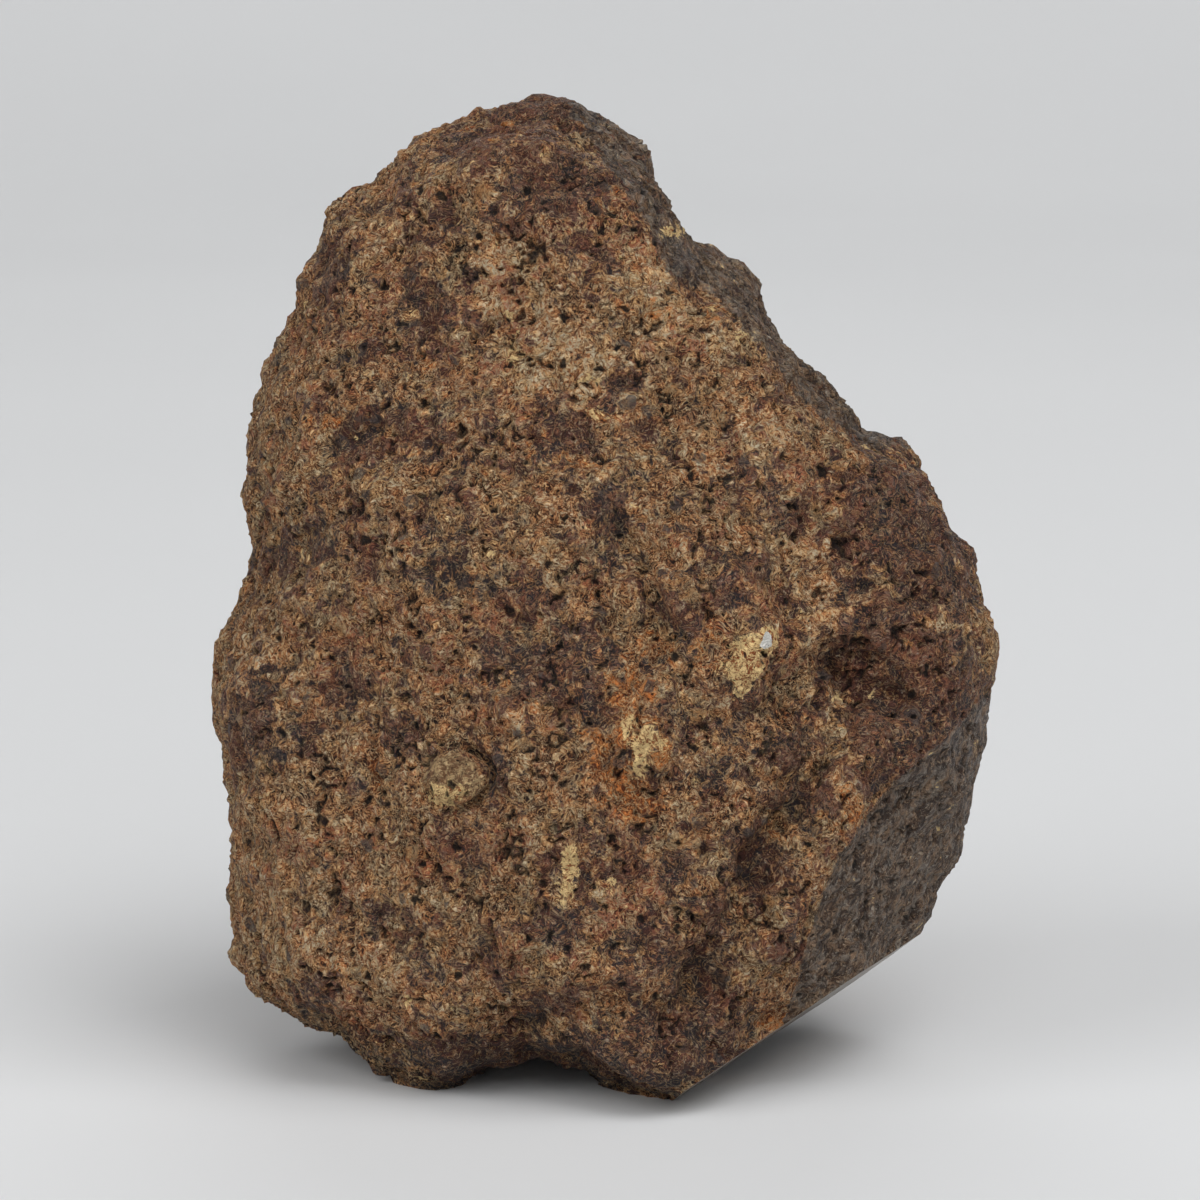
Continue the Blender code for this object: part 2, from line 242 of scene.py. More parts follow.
def paper_mesh():
    """Rings of a disc that curves up at its rim."""
    rings = [(PAPER_FLAT * step / 4, 0.0) for step in range(1, 4)]
    for step in range(PAPER_STEPS + 1):
        turn = PAPER_RISE * step / PAPER_STEPS
        rings.append((PAPER_FLAT + PAPER_CURVE * math.sin(turn), PAPER_CURVE * (1 - math.cos(turn))))
    shape = bmesh.new()
    middle = shape.verts.new((0.0, 0.0, 0.0))
    before = None
    for radius, height in rings:
        ring = []
        for turn in range(PAPER_TURNS):
            angle = 2 * math.pi * turn / PAPER_TURNS
            ring.append(shape.verts.new((radius * math.cos(angle), radius * math.sin(angle), height)))
        for turn in range(PAPER_TURNS):
            after = (turn + 1) % PAPER_TURNS
            if before is None:
                shape.faces.new((middle, ring[turn], ring[after]))
            else:
                shape.faces.new((before[turn], ring[turn], ring[after], before[after]))
        before = ring
    mesh = bpy.data.meshes.new("paper")
    shape.to_mesh(mesh)
    shape.free()
    mesh.shade_smooth()
    return mesh


def paper_finish():
    """Matt off-white paper with a faint cloudiness."""
    material = bpy.data.materials.new("pale paper")
    recipe, shader = opened(material)
    place = recipe.node("ShaderNodeTexCoord", output="Object")
    cloud = recipe.noise(place, 3.0, 2.0).rises(0.3, 0.7)
    colour = recipe.mix(cloud, paint(218, 219, 220), paint(221, 222, 223))
    recipe.feed(shader, "Base Color", colour)
    shader.inputs["Roughness"].default_value = 0.9
    return material


paper = bpy.data.objects.new("paper", paper_mesh())
paper.data.materials.append(paper_finish())
bpy.context.scene.collection.objects.link(paper)
print("paper:", len(paper.data.polygons), "faces")

# %% [markdown]
# The light
#
# Side light brings out relief. A broad soft box stands low on the left, one in front at half
# height, and the strongest high on the right, so every grain has a lit and a shaded side. A box
# behind lifts the paper, and the sky adds next to nothing, which keeps the pits dark.

# %% Light
SKY = 0.06
BOX_DISTANCE = 2.2
# Each box: degrees to the right of the view, degrees above the table, side in metres, watts
SOFT_BOXES = {
    "left box": (-54.0, 34.0, 1.4, 17.5),
    "front box": (10.0, 46.0, 1.6, 16.0),
    "right box": (54.0, 60.0, 1.6, 25.0),
    "back box": (178.0, 32.0, 1.5, 13.0),
}


def soft_box(name, right, up, side, watts):
    """A square lamp that looks at the stone and isn't seen itself."""
    lamp = bpy.data.lights.new(name, "AREA")
    lamp.size = side
    lamp.energy = watts
    box = bpy.data.objects.new(name, lamp)
    turn, rise = math.radians(right), math.radians(up)
    away = Vector((math.sin(turn) * math.cos(rise), -math.cos(turn) * math.cos(rise), math.sin(rise)))
    box.location = away * BOX_DISTANCE
    box.rotation_euler = away.to_track_quat("Z", "Y").to_euler()
    box.visible_camera = False
    bpy.context.scene.collection.objects.link(box)


for box_name, box_values in SOFT_BOXES.items():
    soft_box(box_name, *box_values)
sky = bpy.data.worlds.new("studio")
sky.use_nodes = True
sky.node_tree.nodes["Background"].inputs["Color"].default_value = (SKY, SKY, SKY, 1.0)
bpy.context.scene.world = sky
print(len(SOFT_BOXES), "soft boxes")

# %% [markdown]
# The skin
#
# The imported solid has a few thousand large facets, which is right for weighing and for contact
# but too coarse to look at. A copy of it is merged, covered with an even net of small squares and
# smoothed, and that skin then takes the relief. The cut faces are pushed out for now and are cut
# flat again at the end, so that their rims are as sharp and as ragged as sawn stone.

# %% Skin
NET_STEP = 0.27
NET_SMOOTHING = 9
SAW_POINT = np.array((15.675, -8.847, 4.512))
SAW_NORMAL = np.array((0.56111, -0.23637, -0.79328))
CUT_BAND = 0.55
CUT_SPARE = 1.2


def read_points(mesh):
    """The points of a mesh in mm."""
    flat = np.empty(len(mesh.vertices) * 3, np.float32)
    mesh.vertices.foreach_get("co", flat)
    return flat.reshape(-1, 3).astype(float) / MM


def read_normals(mesh):
    flat = np.empty(len(mesh.vertices) * 3, np.float32)
    mesh.vertices.foreach_get("normal", flat)
    return flat.reshape(-1, 3).astype(float)


def write_points(mesh, points):
    mesh.vertices.foreach_set("co", (points * MM).astype(np.float32).ravel())
    mesh.update()


def write_map(mesh, name, values):
    """Keeps one number at each point of the mesh, for the node trees to read."""
    layer = mesh.attributes.get(name) or mesh.attributes.new(name, "FLOAT", "POINT")
    layer.data.foreach_set("value", values.astype(np.float32))


def step(values, start, end):
    """0 before start, 1 after end, smooth between."""
    share = np.clip((values - start) / (end - start), 0.0, 1.0)
    return share * share * (3.0 - 2.0 * share)


def made_plain(thing):
    """Turns the object and its modifiers into one plain mesh."""
    graph = bpy.context.evaluated_depsgraph_get()
    mesh = bpy.data.meshes.new_from_object(thing.evaluated_get(graph))
    thing.modifiers.clear()
    thing.data = mesh


stone = bpy.data.objects.new("weathered_meteorite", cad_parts["meteorite"].data.copy())
stone.data.materials.clear()
bpy.context.scene.collection.objects.link(stone)
shell = bmesh.new()
shell.from_mesh(stone.data)
bmesh.ops.remove_doubles(shell, verts=shell.verts[:], dist=0.001 * MM)
shell.to_mesh(stone.data)
shell.free()
net = stone.modifiers.new("net", "REMESH")
net.mode = "VOXEL"
net.voxel_size = NET_STEP * MM
smoothing = stone.modifiers.new("smoothing", "SMOOTH")
smoothing.factor = 0.5
smoothing.iterations = NET_SMOOTHING
made_plain(stone)
spots = read_points(stone.data)
beyond = (spots - SAW_POINT) @ SAW_NORMAL
spots += SAW_NORMAL * (CUT_SPARE * step(beyond, -CUT_BAND, 0.0))[:, None]
spots[:, 2] -= CUT_SPARE * step(-spots[:, 2], -CUT_BAND, 0.0)
write_points(stone.data, spots)
print("skin:", len(stone.data.polygons), "squares")

# %% [markdown]
# Grains, pits and ridges that the photograph shows
#
# Some forms are too small for the solid but large enough to know the stone by: the round grain
# low on the left, the dark beads on the right, the black pits, the wandering ridge. Each is a soft
# bell at its place in the picture, pressed into or raised from the front. The back can't be seen,
# so it gets beads and pits of the same sizes, scattered with a fixed seed.

# %% Forms of the front
# Each row: picture x, picture y, half width, half height, how far it stands out in mm
BEADS = [
    (440, 213, 9, 9, 0.25), (671, 231, 11, 8, 0.35), (684, 270, 12, 10, 0.30), (380, 374, 14, 12, 0.30),
    (402, 320, 5, 9, 0.20), (335, 702, 14, 14, 0.25), (397, 737, 15, 20, 0.30), (788, 756, 13, 15, 0.45),
    (813, 799, 17, 17, 0.45), (772, 797, 10, 11, 0.30), (742, 790, 12, 10, 0.25), (710, 911, 18, 14, 0.40),
    (785, 948, 18, 12, 0.30), (622, 981, 14, 13, 0.35), (915, 755, 11, 9, 0.30), (750, 662, 24, 30, 0.25),
    (670, 607, 16, 13, 0.25), (788, 520, 22, 18, 0.25), (318, 992, 15, 11, 0.20), (492, 553, 5, 5, 0.25),
    (560, 665, 52, 34, 0.20), (430, 310, 34, 30, 0.25), (610, 850, 24, 26, 0.20), (254, 718, 24, 40, 0.25),
    (600, 893, 22, 18, 0.25), (570, 871, 9, 24, 0.30), (655, 752, 16, 24, 0.30), (740, 470, 20, 15, 0.20),
    (590, 640, 20, 12, 0.15), (520, 540, 14, 10, 0.15), (345, 560, 20, 12, 0.15), (680, 540, 18, 14, 0.20),
    (880, 600, 16, 12, 0.25), (930, 560, 14, 10, 0.25), (850, 520, 12, 10, 0.20), (730, 540, 14, 10, 0.15),
]
PITS = [
    (320, 300, 4, 8, 0.45), (296, 341, 5, 6, 0.45), (355, 438, 9, 5, 0.50), (626, 382, 15, 8, 0.70),
    (779, 373, 6, 7, 0.50), (792, 388, 7, 6, 0.55), (808, 401, 7, 4, 0.45), (313, 532, 5, 5, 0.35),
    (268, 622, 6, 5, 0.50), (290, 610, 10, 4, 0.30), (572, 488, 5, 5, 0.45), (281, 823, 7, 6, 0.40),
    (722, 829, 7, 5, 0.55), (780, 829, 6, 5, 0.45), (703, 851, 6, 8, 0.55), (757, 881, 12, 8, 0.55),
    (865, 657, 9, 6, 0.50), (890, 693, 12, 6, 0.50), (832, 671, 10, 9, 0.60), (848, 655, 5, 5, 0.40),
    (735, 1009, 8, 4, 0.45), (655, 1070, 6, 3, 0.35), (690, 985, 12, 20, 0.45), (376, 913, 8, 7, 0.35),
    (410, 930, 8, 8, 0.35), (490, 944, 8, 15, 0.35), (400, 855, 6, 9, 0.40), (333, 843, 6, 10, 0.35),
    (455, 838, 8, 14, 0.35), (344, 790, 4, 10, 0.30), (484, 870, 5, 6, 0.30), (470, 1020, 8, 6, 0.30),
    (540, 760, 6, 5, 0.25), (605, 765, 6, 16, 0.40), (662, 735, 4, 20, 0.35), (595, 250, 8, 6, 0.30),
    (612, 272, 9, 6, 0.30), (650, 430, 7, 7, 0.35), (700, 700, 7, 5, 0.30), (745, 735, 9, 5, 0.35),
    (865, 585, 16, 5, 0.45), (895, 545, 20, 6, 0.45), (845, 540, 9, 6, 0.40), (930, 600, 12, 6, 0.40),
    (872, 760, 9, 5, 0.35), (900, 790, 9, 5, 0.35), (855, 972, 5, 3, 0.45), (700, 1030, 16, 9, 0.40),
    (565, 860, 6, 12, 0.30), (400, 405, 12, 5, 0.25), (470, 345, 8, 6, 0.25), (405, 178, 8, 6, 0.30),
    (365, 600, 7, 5, 0.25), (372, 540, 6, 9, 0.30), (430, 572, 8, 8, 0.30), (500, 610, 8, 5, 0.25),
]
# Each row: the line in the picture, its half width in pixels, how far it stands out in mm
RIDGES = [
    ([(852, 590), (850, 620), (846, 655), (826, 672), (805, 695), (797, 735)], 3.5, 0.40),
    ([(785, 545), (810, 555), (795, 575), (792, 600), (835, 612)], 5.0, 0.35),
    ([(270, 500), (290, 478), (320, 462), (345, 470)], 7.0, 0.40),
    ([(257, 545), (248, 575), (243, 600)], 6.0, -0.45),
    ([(375, 715), (374, 765), (377, 805)], 2.6, -0.40),
    ([(622, 525), (640, 560), (655, 610), (658, 660)], 12.0, -0.80),
    ([(655, 895), (660, 880), (672, 872)], 4.0, 0.30),
    ([(838, 742), (800, 800), (752, 862), (715, 930), (690, 985)], 11.0, -0.60),
    ([(245, 715), (258, 760), (275, 770)], 3.0, 0.25),
    ([(255, 680), (285, 690), (300, 705)], 3.5, 0.25),
    ([(700, 283), (724, 303), (762, 351), (797, 392), (823, 418)], 4.0, 0.30),
    ([(560, 480), (600, 500), (640, 520)], 4.0, -0.20),
    ([(455, 1081), (478, 1063), (521, 1057), (563, 1056), (594, 1073), (607, 1079)], 6.0, 0.45),
]
GRAIN_DISC = (457, 776, 29, 28)
GRAIN_DOME = 0.80


def bells(rows, x, y):
    """Sum of soft bells, each a row of place, reach and height."""
    total = np.zeros(len(x))
    for at_x, at_y, half_width, half_height, height in rows:
        far = ((x - at_x) / half_width) ** 2 + ((y - at_y) / half_height) ** 2
        total += height * np.exp(-(far**1.5))
    return total


def off_line(line, x, y):
    """Distance in pixels to a line of stretches, and its sign: 1 on the right as it is walked."""
    nearest = np.full(len(x), np.inf)
    sign = np.ones(len(x))
    for (x0, y0), (x1, y1) in zip(line, line[1:]):
        run_x, run_y = x1 - x0, y1 - y0
        share = np.clip(((x - x0) * run_x + (y - y0) * run_y) / (run_x**2 + run_y**2), 0.0, 1.0)
        gap = np.hypot(x - x0 - share * run_x, y - y0 - share * run_y)
        sign = np.where(gap < nearest, np.sign(run_y * (x - x0) - run_x * (y - y0)), sign)
        nearest = np.minimum(nearest, gap)
    return nearest, sign


def disc_relief(x, y):
    """The large round grain: a shallow dome in a socket, with a gap along its right side."""
    at_x, at_y, half_width, half_height = GRAIN_DISC
    far = np.hypot((x - at_x) / half_width, (y - at_y) / half_height)
    dome = GRAIN_DOME * np.clip(1.0 - far**2, 0.0, 1.0) ** 0.6
    side = step(x - at_x, 4.0, 20.0)
    gap = np.exp(-(((far - 1.12) / 0.16) ** 2)) * (0.3 + 0.8 * side)
    return dome - gap


def front_forms(points, facing):
    """How far the forms of the front stand out at each point, in mm."""
    x, y, _ = seen_at(points)
    total = bells(BEADS, x, y) - bells(PITS, x, y) + disc_relief(x, y)
    for line, reach, height in RIDGES:
        total += height * np.exp(-((off_line(line, x, y)[0] / reach) ** 2))
    return total * step(facing, 0.05, 0.35)


spots = read_points(stone.data)
facing = -(read_normals(stone.data) @ view_line)
forms = front_forms(spots, facing)
print("forms of the front reach", round(forms.min(), 2), "to", round(forms.max(), 2), "mm")

# %% Forms of the back
SCATTER_SEED = 11
SCATTERED_BEADS = 130
SCATTERED_PITS = 170
BELL_RISE = 0.32
PIT_GAIN = 1.6


def scattered(points, facing, count, low, high, generator):
    """Soft bells of mixed sizes at random places of the side that the view doesn't show."""
    hidden = np.flatnonzero(facing < -0.02)
    total = np.zeros(len(points))
    for index in generator.choice(hidden, count, replace=False):
        reach = generator.uniform(low, high)
        near = np.flatnonzero(np.abs(points[:, 2] - points[index, 2]) < 3 * reach)
        far = ((points[near] - points[index]) ** 2).sum(axis=1) / reach**2
        total[near] += BELL_RISE * reach * np.exp(-(far**1.5))
    return total


generator = np.random.default_rng(SCATTER_SEED)
back_beads = scattered(spots, facing, SCATTERED_BEADS, 0.5, 1.6, generator)
back_pits = scattered(spots, facing, SCATTERED_PITS, 0.3, 0.8, generator)
forms += back_beads - PIT_GAIN * back_pits
print("back:", SCATTERED_BEADS, "beads and", SCATTERED_PITS, "pits")

# %% [markdown]
# Where the young breaks are
#
# The grey flank low on the right and the grey strip along the upper right are breaks younger than
# the brown crust. They are smoother and finely pitted. Their borders are lines in the picture, and
# round the corner, out of sight, the breaks fade out into old crust again.

# %% Breaks
FLANK_EDGE = [
    (1010, 668), (998, 683), (944, 740), (887, 791), (839, 855), (820, 900), (807, 944), (788, 1011),
    (770, 1060),
]
SHOULDER_EDGE = [
    (560, 90), (580, 128), (628, 190), (652, 236), (668, 268), (699, 288), (724, 303), (762, 351),
    (797, 392), (823, 418), (862, 446), (884, 446),
]
EDGE_BLUR = 9.0
FLANK_BELOW = 640
SHOULDER_ABOVE = 500
BREAK_DEPTH = 9.0
BREAK_FADE = 4.0
SHOULDER_SHARE = 0.2


def beyond_edge(line, x, y):
    """0 well left of an edge that is walked along, 1 well right of it."""
    distance, sign = off_line(line, x, y)
    return step(distance * sign, -EDGE_BLUR, EDGE_BLUR)


def breaks(points):
    """Share of young break at each point: the flank, and the shoulder strip."""
    x, y, depth = seen_at(points)
    round_corner = 1.0 - step(depth, BREAK_DEPTH - BREAK_FADE, BREAK_DEPTH + BREAK_FADE)
    flank = beyond_edge(FLANK_EDGE, x, y) * (y > FLANK_BELOW)
    shoulder = beyond_edge(SHOULDER_EDGE, x, y) * (y < SHOULDER_ABOVE)
    return flank * round_corner, shoulder * round_corner


flank_share, shoulder_share = breaks(spots)
print("young break at", round(100 * float((flank_share + shoulder_share > 0.5).mean())), "% of the skin")
write_map(stone.data, "break", np.maximum(flank_share, SHOULDER_SHARE * shoulder_share))
write_map(stone.data, "forms", forms)

# %% [markdown]
# The relief
#
# Crust like this follows a rule: lumps of a few millimetres, knobs of about one, a web of fine
# raised veins and many small pits. Geometry Nodes lays those on the skin as layers of noise and
# cells, each with a named size and height, along the skin's own normals. The layers are also kept
# as maps on the points, before these move. The finish reads them, so that colour and form agree.


# %% Relief pattern
BEADS_PER_MM = 0.55
KNOBS_PER_MM = 1.05
PITS_PER_MM = 0.72
BEAD_SHARE = 0.40
KNOB_SHARE = 0.35


def dome(recipe, place, per_mm, presence):
    """Round grains in some of the cells: how high each stands, the moat round it, and its own tint."""
    far = recipe.cells(place, per_mm)
    chance = recipe.cells(place, per_mm, output="Color")
    reach = 0.24 + 0.26 * recipe.share_of(chance)
    chosen = recipe.share_of(chance, 0.0, 1.0).rises(1.0 - presence, 1.05 - presence)
    share = far.math("DIVIDE", far, reach)
    height = (1.0 - share * share).largest(0.0).math("SQRT", (1.0 - share * share).largest(0.0))
    moat = (1.0 - (share - 1.15).size().rises(0.0, 0.45)) * chosen
    return height * chosen * reach, moat, recipe.share_of(chance, 0.0, 0.0, 1.0) * chosen


def crust_pattern(recipe, place):
    """The crust's layers at a place in mm: beads, knobs, veins, pits, cracks and fine grain."""
    bent = recipe.bent(place, 0.9, 1.1)
    wavering = recipe.bent(bent, 2.6, 0.30)
    bead, moat, tint = dome(recipe, wavering, BEADS_PER_MM, BEAD_SHARE)
    knob, ditch, _ = dome(recipe, wavering, KNOBS_PER_MM, KNOB_SHARE)
    vein = 1.0 - (recipe.noise(bent, 0.85, 2.0, 0.6, 0.9) - 0.5).size().rises(0.0, 0.07)
    pit = recipe.cells(wavering, PITS_PER_MM) + 0.5 * (recipe.noise(bent, 2.0, 1.0) - 0.5)
    chosen = recipe.share_of(recipe.cells(wavering, PITS_PER_MM, "Color")).rises(0.62, 0.72)
    crack = 1.0 - (recipe.noise(bent, 0.30, 3.0, 0.55) - 0.5).size().rises(0.004, 0.026)
    torn = recipe.noise(place, 0.35, 1.0).rises(0.50, 0.56)
    return {
        "bead": bead,
        "knob": knob,
        "moat": moat.largest(0.6 * ditch),
        "tint": tint,
        "vein": vein,
        "pit": (1.0 - pit.rises(0.12, 0.32)) * chosen,
        "crack": crack * torn,
        "grain": recipe.noise(wavering, 1.9, 3.0, 0.65) - 0.5,
    }


KEPT_MAPS = ("bead", "knob", "tint", "pit", "crack")
RELIEF_INPUTS = {
    "Lump size": 3.6,
    "Lump height": 2.5,
    "Bead height": 0.55,
    "Knob height": 0.25,
    "Moat depth": 0.08,
    "Vein height": 0.12,
    "Pit depth": 0.38,
    "Crack depth": 0.50,
    "Grain height": 0.60,
    "Break share": 0.60,
}


def relief_group():
    """The Geometry Nodes group that raises and sinks the skin and keeps its layers as maps."""
    group = bpy.data.node_groups.new("crust relief", "GeometryNodeTree")
    group.is_modifier = True
    group.interface.new_socket("Skin", in_out="INPUT", socket_type="NodeSocketGeometry")
    for name, value in RELIEF_INPUTS.items():
        socket = group.interface.new_socket(name, in_out="INPUT", socket_type="NodeSocketFloat")
        socket.default_value = value
    group.interface.new_socket("Finish", in_out="INPUT", socket_type="NodeSocketMaterial")
    group.interface.new_socket("Stone", in_out="OUTPUT", socket_type="NodeSocketGeometry")
    recipe = Recipe(group)
    given = recipe.node("NodeGroupInput", output=None)
    size = {name: Wire(recipe, given.outputs[name]) for name in RELIEF_INPUTS}
    metres = recipe.node("GeometryNodeInputPosition")
    place = recipe.vector("SCALE", metres, 1.0 / MM)
    named = {"data_type": "FLOAT"}
    young = recipe.node("GeometryNodeInputNamedAttribute", named, {"Name": "break"})
    forms = recipe.node("GeometryNodeInputNamedAttribute", named, {"Name": "forms"})
    pattern = crust_pattern(recipe, place)
    skin = Wire(recipe, given.outputs["Skin"])
    for name in KEPT_MAPS:
        sockets = {"Geometry": skin, "Name": name, "Value": pattern[name]}
        skin = recipe.node("GeometryNodeStoreNamedAttribute", named, sockets)
    lumps = recipe.noise(place, 1.0 / size["Lump size"], 2.0) - 0.5
    height = lumps * size["Lump height"] + pattern["bead"] * size["Bead height"]
    height = height + pattern["knob"] * size["Knob height"] - pattern["moat"] * size["Moat depth"]
    height = height + pattern["vein"] * size["Vein height"] + pattern["grain"] * size["Grain height"]
    height = height - pattern["pit"] * size["Pit depth"] - pattern["crack"] * size["Crack depth"]
    rugged = 1.0 - young * (1.0 - size["Break share"])
    total = (height * rugged + forms) * MM
    normal = recipe.node("GeometryNodeInputNormal")
    offset = recipe.vector("SCALE", normal, total)
    moved = recipe.node("GeometryNodeSetPosition", {}, {"Geometry": skin, "Offset": offset})
    whole = recipe.node("GeometryNodeRealizeInstances", {}, {"Geometry": moved})
    sockets = {"Geometry": whole, "Material": Wire(recipe, given.outputs["Finish"])}
    dressed = recipe.node("GeometryNodeSetMaterial", {}, sockets)
    recipe.node("NodeGroupOutput", {}, {"Stone": dressed}, output=None)
    return group


def set_input(modifier, name, value):
    """Sets one named input of a Geometry Nodes modifier, by its socket's identifier."""
    for item in modifier.node_group.interface.items_tree:
        if item.item_type == "SOCKET" and item.in_out == "INPUT" and item.name == name:
            modifier[item.identifier] = value
            return
    raise KeyError(name)


print("relief heights in mm:", RELIEF_INPUTS)

# %% Relief on the skin
crust = bpy.data.materials.new("weathered crust")
relief = stone.modifiers.new("relief", "NODES")
relief.node_group = relief_group()
for input_name, input_value in RELIEF_INPUTS.items():
    set_input(relief, input_name, input_value)
set_input(relief, "Finish", crust)
made_plain(stone)
print("relief laid on", len(stone.data.vertices), "points")

# %% [markdown]
# Back to size
#
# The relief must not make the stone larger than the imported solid. Whatever stands within a
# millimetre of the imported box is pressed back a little, the outermost points the most. Then two
# large blocks cut the sawn corner and the resting flats off again, and the finest squares are
# merged where the surface is calm, which leaves the triangles to the edges and pits.

# %% Cut to size
PRESS_BAND = 1.2
KEPT_TRIANGLES = 190000
BLOCK_SIDE = 0.12
FLAT_CLOSE = 0.03


def pressed(values, limit, sign):
    """Coordinates near one side of the box, pressed back so that none passes the limit."""
    into = sign * values - (limit - PRESS_BAND)
    over = max(float(into.max()), PRESS_BAND)
    share = np.clip(into / over, 0.0, 1.0)
    # A curve that leaves its start with slope 1 and ends exactly on the box
    bend = (over - PRESS_BAND) / over
    held = into - np.where(into > 0.0, over * bend * share**2, 0.0)
    return sign * (np.where(into > 0.0, held, into) + limit - PRESS_BAND)


def cut_block(name, point, normal):
    """A block whose one face lies at the point, filling the side that the normal looks to."""
    shape = bmesh.new()
    bmesh.ops.create_cube(shape, size=BLOCK_SIDE)
    bmesh.ops.translate(shape, verts=shape.verts[:], vec=(0.0, 0.0, BLOCK_SIDE / 2))
    turn = Vector(normal).to_track_quat("Z", "Y").to_matrix().to_4x4()
    shape.transform(Matrix.Translation(Vector(point) * MM) @ turn)
    mesh = bpy.data.meshes.new(name)
    shape.to_mesh(mesh)
    shape.free()
    block = bpy.data.objects.new(name, mesh)
    bpy.context.scene.collection.objects.link(block)
    return block


spots = read_points(stone.data)
low_mm, high_mm = np.array(cad_low) / MM, np.array(cad_high) / MM
for axis in (0, 1):
    spots[:, axis] = pressed(spots[:, axis], -low_mm[axis], -1.0)
for axis in (0, 1, 2):
    spots[:, axis] = pressed(spots[:, axis], high_mm[axis], 1.0)
write_points(stone.data, spots)
blocks = [cut_block("saw", SAW_POINT, SAW_NORMAL), cut_block("ground", (0, 0, 0), (0, 0, -1))]
for block in blocks:
    cut = stone.modifiers.new(block.name, "BOOLEAN")
    cut.operation = "DIFFERENCE"
    cut.solver = "MANIFOLD"
    cut.object = block
made_plain(stone)
print("cut:", len(stone.data.polygons), "faces")
triangles = sum(len(face.vertices) - 2 for face in stone.data.polygons)
thinning = stone.modifiers.new("thinning", "DECIMATE")
thinning.ratio = KEPT_TRIANGLES / triangles
thinning.use_collapse_triangulate = True
made_plain(stone)
for block in blocks:
    bpy.data.objects.remove(block)
spots = read_points(stone.data)
beyond = (spots - SAW_POINT) @ SAW_NORMAL
spots -= SAW_NORMAL * np.where(np.abs(beyond) < FLAT_CLOSE, beyond, 0.0)[:, None]
spots[:, 2] = np.where(np.abs(spots[:, 2]) < FLAT_CLOSE, 0.0, spots[:, 2])
write_points(stone.data, np.clip(spots, low_mm, high_mm))
print("kept:", len(stone.data.polygons), "triangles")
